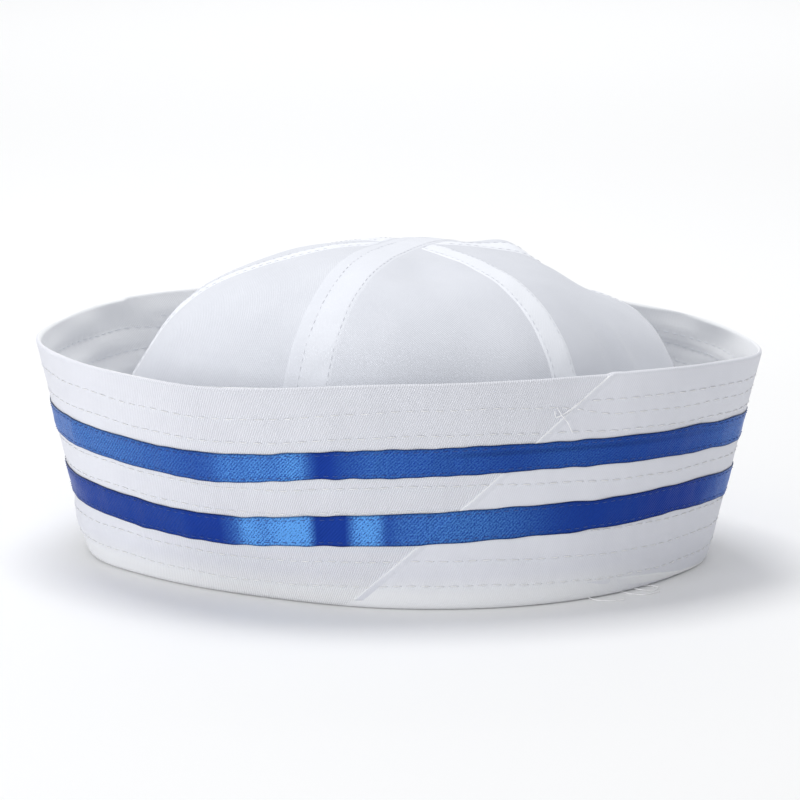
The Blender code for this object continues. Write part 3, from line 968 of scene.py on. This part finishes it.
SATIN_PAINTED_HIGHLIGHT = (  # azimuth (degrees), strength of the painted highlight on the upper and on the lower ribbon, from 0 to 1
    (0, 0.20, 0.26),
    (12, 0.16, 0.34),
    (22, 0.10, 0.22),
    (30, 0.14, 0.06),
    (45, 0.08, 0.02),
    (62, 0.14, 0.02),
    (70, 0.26, 0.20),
    (95, 0.10, 0.30),
    (118, 0.40, 0.10),
    (126, 0.12, 0.45),
    (150, 0.10, 0.10),
    (176, 0.45, 0.12),
    (184, 0.15, 0.40),
    (215, 0.10, 0.10),
    (240, 0.38, 0.15),
    (250, 0.12, 0.35),
    (280, 0.30, 0.06),
    (300, 0.34, 0.03),
    (314, 0.22, 0.03),
    (324, 0.22, 0.05),
    (327, 0.40, 0.30),
    (329.5, 0.38, 0.85),
    (333, 0.44, 0.62),
    (336, 0.40, 0.95),
    (341.5, 0.48, 0.95),
    (343, 0.18, 0.25),
    (350, 0.12, 0.15),
    (352, 0.16, 0.75),
    (355.5, 0.24, 0.75),
    (357, 0.22, 0.24),
)
UPPER_PAINTED_HIGHLIGHT, LOWER_PAINTED_HIGHLIGHT = 1, 2


def satin_material(name, deep, highlight_blue):
    """Satin: a deep dye with a painted highlight, a lighter blue mixed in where the highlight
    attribute and the diagonal floats are high, painted shade along its edges and its crease,
    and shine that spreads across the ribbon, because the floats lie along it."""
    material, tree, shader = open_material(name, {"Specular IOR Level": 0.15, "Metallic": 0.4,
                                                  "Anisotropic": 0.9, "Anisotropic Rotation": 0.25})
    cloth = add_node(tree, "UVMap", uv_map="Cloth").outputs["UV"]
    height = add_node(tree, "Group", {"Cloth": cloth, "Rib pitch": 0.00085, "Slope": pi / 4},
                      node_tree=twill_ribs).outputs[0]
    speckle = add_node(tree, "TexNoise", {"Vector": cloth, "Scale": 1900, "Detail": 1})
    floats = compute(tree, "MULTIPLY_ADD", height, 0.28, speckle.outputs["Fac"])
    lit = add_node(tree, "MapRange", {"Value": floats, "From Min": 0.44, "From Max": 0.84,
                                      "To Min": 0.15, "To Max": 1.85}).outputs["Result"]
    # Painted highlight: the satin's shine laid into its colour, in bands round the ribbon.
    highlight_mask = add_node(tree, "Attribute", attribute_name="Painted highlight").outputs["Fac"]
    painted_highlight = compute(tree, "MULTIPLY", highlight_mask, lit, use_clamp=True)
    colour_with_painted_light = add_node(tree, "Mix", {"Factor": painted_highlight, "A": (*deep, 1), "B": (*highlight_blue, 1)},
                   data_type="RGBA").outputs["Result"]
    # Painted shade: darker along the ribbon's edges and in its crease.
    edge = add_node(tree, "Attribute", attribute_name="Painted edge and crease shade").outputs["Fac"]
    edge_and_crease_shade = add_node(tree, "MapRange", {"Value": edge, "To Min": 1.0, "To Max": 0.30}).outputs["Result"]
    shade = add_node(tree, "VectorMath", {0: colour_with_painted_light, "Scale": edge_and_crease_shade}, operation="SCALE")
    tree.links.new(shade.outputs[0], shader.inputs["Base Color"])
    worn = add_node(tree, "MapRange", {"Value": height, "To Min": 0.38, "To Max": 0.48})
    tree.links.new(worn.outputs["Result"], shader.inputs["Roughness"])
    emboss(tree, shader, height, 0.00012)
    return material


def tuck(top, azimuth, share):
    """The lengthwise crease in the upper ribbon's front right: a Gaussian across the ribbon."""
    _, middle, half_width = TUCK
    along = np.clip((azimuth - TUCK_START[0]) / TUCK_START[1], 0, 1)
    along = along * np.clip((TUCK_END[0] - azimuth) / TUCK_END[1], 0, 1)
    return (top == UPPER_TOP) * along * np.exp(-((share - middle) / half_width) ** 2)


def ribbon_face(top, bottom, azimuth, share, lift=0):
    """The ribbon's outer face: the brim's face between its two edges, lifted, with small
    puckers between the stitches, a hollow along each sewn line and a lap at its end."""
    high, low = (around(RIBBON_EDGES, azimuth, column) * MM for column in (top, bottom))
    depth, size, seed = RAGGED
    ragged = depth * MM * unevenness(place(azimuth, 0.1 + 0 * azimuth, 0.02 * top), size, seed + top)
    slant = low + (high - low) * share + ragged * (2 * share - 1) ** 3
    inset = np.minimum(share, 1 - share) * (high - low)
    along = along_brim(azimuth)
    depth, size, seed = PUCKER
    pucker = depth * unevenness(np.stack((along, 0.25 * slant, 0 * slant), -1), size, seed + top)
    depth, size, seed = WAVE
    wave = unevenness(np.stack((along, 0.4 * slant, 0 * slant), -1), size, seed + top)
    wave = depth * np.maximum(wave, WAVE_LOW) * np.clip(inset / WAVE_EASE, 0, 1)
    depth, half_width = SEWN_LINE
    sewn_line = depth * np.exp(-((inset - RIBBON_INSET) / half_width) ** 2)
    height, off = OVER_JOIN
    over_join = height * np.exp(-((join_side(azimuth, slant) - off) / JOIN_BLUR) ** 2)
    relief = pucker + wave + over_join - sewn_line - TUCK[0] * tuck(top, azimuth, share)
    start, reach = RIBBON_LAP_AT
    lapped = np.clip((azimuth - RIBBON_START - start) / reach, 0, 1)
    stand = RIBBON_WALL + RIBBON_LIFT + relief * MM + lapped * RIBBON_LAP_LIFT + lift
    return brim_face(azimuth, slant, stand), normals(brim_line, azimuth, slant)


# The second colour is a painted highlight: the light blue of the satin where it shines.
satin = satin_material("Blue satin", (0.007, 0.044, 0.32), (0.13, 0.41, 0.92))
# Its second colour is painted shade where the stitches go into the ribbon.
ribbon_thread = thread_material("Blue ribbon thread", (0.020, 0.085, 0.40), (0.007, 0.03, 0.20))
for name, top, bottom, highlight_column in (("ribbon_upper", UPPER_TOP, UPPER_BOTTOM, UPPER_PAINTED_HIGHLIGHT),
                                 ("ribbon_lower", LOWER_TOP, LOWER_BOTTOM, LOWER_PAINTED_HIGHLIGHT)):
    turn = np.linspace(RIBBON_START, RIBBON_START + 360 + RIBBON_LAP, RIBBON_COLUMNS)
    azimuth, share = np.meshgrid(turn, crowded(RIBBON_ROWS))
    outer, normal = ribbon_face(top, bottom, azimuth, share)
    length = run_length(outer[RIBBON_ROWS // 2])
    to_edge = np.minimum(share, 1 - share) * RIBBON_WIDTH
    full = rounded(to_edge, RIBBON_WALL)[..., None]
    inner = outer - RIBBON_WALL * (1 + full) / 2 * normal
    outer = outer - RIBBON_WALL * (1 - full) / 2 * normal
    # Painted shade along both edges and in the tuck's crease.
    edge = np.exp(-(to_edge / EDGE_SHADE) ** 2) + TUCK_SHADE * tuck(top, azimuth, share)
    # Its marks paint the satin's highlight in bands round the ribbon.
    ribbon = cloth_object(f"{name}_satin", outer, inner, np.broadcast_to(length, azimuth.shape),
                          share * RIBBON_WIDTH, satin,
                          marks={"Painted highlight": around(SATIN_PAINTED_HIGHLIGHT, azimuth, highlight_column), "Painted edge and crease shade": edge})
    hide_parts(name)
    starts, ends, outs = [], [], []
    count = int(length[-1] / RIBBON_STITCH_PITCH) - 1
    for inset in (RIBBON_INSET / RIBBON_WIDTH, 1 - RIBBON_INSET / RIBBON_WIDTH):
        first = (np.arange(count) + 0.4 + 0.3 * inset) * RIBBON_STITCH_PITCH
        for distance, points in ((first, starts), (first + RIBBON_STITCH_LENGTH, ends)):
            point, normal = ribbon_face(top, bottom, np.interp(distance, length, turn),
                                        np.full(count, inset), RIBBON_THREAD_LIFT)
            points.append(point)
        outs.append(normal)
    sewing = sewn(f"{name}_stitching", starts, ends, outs, RIBBON_THREAD, RIBBON_THREAD_BOW, ribbon_thread)

# Loose threads
# Ends of sewing thread, a centimetre or two long: two hang from the front join, the others
# stick out from under the front right of the foot and lie on the table.
LOOSE_ON_JOIN = (  # azimuth (degrees), slant and height off the cloth (mm) along each thread
    ((29.6, 62.6, 0.2), (30.3, 60.2, 1.0), (31.6, 57.5, 0.9), (32.6, 54.2, 0.5)),
    ((34.6, 64.4, 0.3), (32.6, 62.6, 1.2), (30.9, 60.6, 0.8), (29.4, 59.6, 0.6), (29.0, 61.5, 0.7)),
)
LOOSE_ON_TABLE = (  # x, y and z (mm) along each thread
    ((71.0, -58.5, 2.2), (76.4, -62.8, 0.6), (80.0, -62.4, 0.4), (82.8, -64.6, 0.3), (81.4, -68.0, 0.3),
     (78.4, -68.6, 0.4), (75.0, -66.6, 0.5)),
    ((66.0, -66.5, 2.0), (71.0, -70.0, 0.3), (77.1, -73.2, 0.2), (83.0, -69.3, 0.2)),
    ((55.0, -73.0, 1.8), (61.0, -78.5, 0.3), (66.0, -80.9, 0.2), (71.4, -79.3, 0.2)),
)
LOOSE_THREAD = 0.00030
LOOSE_THREAD_ON_TABLE = 0.00034
STRAND_SIDES = 6
STRAND_STEPS = 12


def strand(name, points, thickness):
    """A thread through a few points (mm): cubic Hermite curves, with a round section carried
    along them. Its UV map keeps to the middle of a stitch, clear of the painted shade at its ends."""
    knot = np.array(points, float) * MM
    slope = np.gradient(knot, axis=0)
    t = np.linspace(0, len(knot) - 1.0001, STRAND_STEPS * len(knot))
    i = t.astype(int)
    line = hermite((t - i)[:, None], knot[i], knot[i + 1], slope[i], slope[i + 1])
    along = np.gradient(line, axis=0)
    along /= np.linalg.norm(along, axis=1, keepdims=True)
    side = np.cross(along, (0.31, 0.22, 0.92))
    side /= np.linalg.norm(side, axis=1, keepdims=True)
    over = np.cross(along, side)
    turn = np.arange(STRAND_SIDES) * 2 * pi / STRAND_SIDES
    ring = side[:, None] * np.cos(turn)[:, None] + over[:, None] * np.sin(turn)[:, None]
    rows, slots = np.meshgrid(np.arange(len(line) - 1), np.arange(STRAND_SIDES), indexing="ij")
    rows, slots = rows.ravel(), slots.ravel()
    here, beside = rows * STRAND_SIDES, (slots + 1) % STRAND_SIDES
    quad = np.stack((here + slots, here + beside, here + STRAND_SIDES + beside,
                     here + STRAND_SIDES + slots), -1).tolist()
    cap = list(range(STRAND_SIDES))
    last = (len(line) - 1) * STRAND_SIDES
    faces = quad + [cap[::-1], [last + slot for slot in cap]]
    share = np.stack((rows, rows, rows + 1, rows + 1), -1) / len(line) * 0.3 + 0.35
    turned = np.stack((slots, slots + 1, slots + 1, slots), -1) / STRAND_SIDES
    uv = np.concatenate((np.stack((share, turned), -1).ravel(), np.full(4 * STRAND_SIDES, 0.5)))
    piece = add_piece(name, line[:, None] + ring * thickness / 2, faces, "Thread", uv, brim_thread)


for number, points in enumerate(LOOSE_ON_JOIN, 1):
    azimuth, slant, off = np.array(points).T
    strand(f"loose_thread_{number}", brim_face(azimuth, slant * MM, off * MM) / MM, LOOSE_THREAD)
for number, points in enumerate(LOOSE_ON_TABLE, 1 + len(LOOSE_ON_JOIN)):
    strand(f"loose_thread_{number}", points, LOOSE_THREAD_ON_TABLE)

# Floor, light and camera
# A plain pale table top in a white room, with a low soft lamp at the front left, one above and
# a little behind, and a broad one over each end of the table. The camera stands some way off, a
# little above the brim.
FLOOR_REACH = 3.0
ROOM_WHITE = (0.975, 0.985, 1.0, 1)
ROOM_LIGHT = 0.56
CAP_MIDDLE = (0, 0, 0.05)
LAMPS = (  # name, place, size (m), power (W), point that it is aimed at
    ("Key", (-0.88, -0.93, 0.27), 0.42, 4.6, CAP_MIDDLE),
    ("Top", (-0.15, 0.35, 1.4), 0.6, 10.0, CAP_MIDDLE),
    ("Front lamp", (0.0, -1.3, 1.3), 1.2, 1.2, (0.0, -0.8, 0.0)),
    ("Back floor lamp", (0.0, 2.2, 1.1), 2.0, 12.0, (0.0, 2.4, 0.0)),
)
CAMERA_LENS = 155.4
CAMERA_DISTANCE = 1.15
CAMERA_ELEVATION = np.radians(11.5)
CAMERA_AIM = np.array((OUTLINE_X, OUTLINE_Y + 0.0132, 0.045))
ground = open_material("Pale table top", {"Base Color": (0.93, 0.93, 0.93, 1), "Roughness": 0.7,
                                          "Specular IOR Level": 0.2})[0]
floor_mesh = bpy.data.meshes.new("Floor")
corners = [(x * FLOOR_REACH, y * FLOOR_REACH, 0) for x, y in ((-1, -1), (1, -1), (1, 1), (-1, 1))]
floor_mesh.from_pydata(corners, [], [(0, 1, 2, 3)])
floor_mesh.materials.append(ground)
floor = bpy.data.objects.new("Floor", floor_mesh)
bpy.context.collection.objects.link(floor)

world = bpy.data.worlds.new("White room")
world.use_nodes = True
world.node_tree.nodes["Background"].inputs["Color"].default_value = ROOM_WHITE
world.node_tree.nodes["Background"].inputs["Strength"].default_value = ROOM_LIGHT
bpy.context.scene.world = world
bpy.context.scene.view_settings.view_transform = "Standard"


def stand_and_aim(thing, spot, target):
    """Put a lamp or camera in its place and turn it so that its -Z axis points at a target."""
    thing.location = spot
    bpy.context.collection.objects.link(thing)
    way = np.array(target) - np.array(spot)
    side = np.cross(way, (0, 0, 1))
    lift = np.arctan2(way[2], np.hypot(way[0], way[1]))
    thing.rotation_euler = (pi / 2 + lift, 0, np.arctan2(side[1], side[0]))


for name, spot, size, power, target in LAMPS:
    light = bpy.data.lights.new(name, "AREA")
    light.size = size
    light.energy = power
    stand_and_aim(bpy.data.objects.new(name, light), spot, target)

camera_data = bpy.data.cameras.new("Camera")
camera_data.sensor_width = 36
camera_data.lens = CAMERA_LENS
camera = bpy.data.objects.new("Camera", camera_data)
away = np.array((0, -np.cos(CAMERA_ELEVATION), np.sin(CAMERA_ELEVATION)))
stand_and_aim(camera, CAMERA_AIM + CAMERA_DISTANCE * away, CAMERA_AIM)
bpy.context.scene.camera = camera
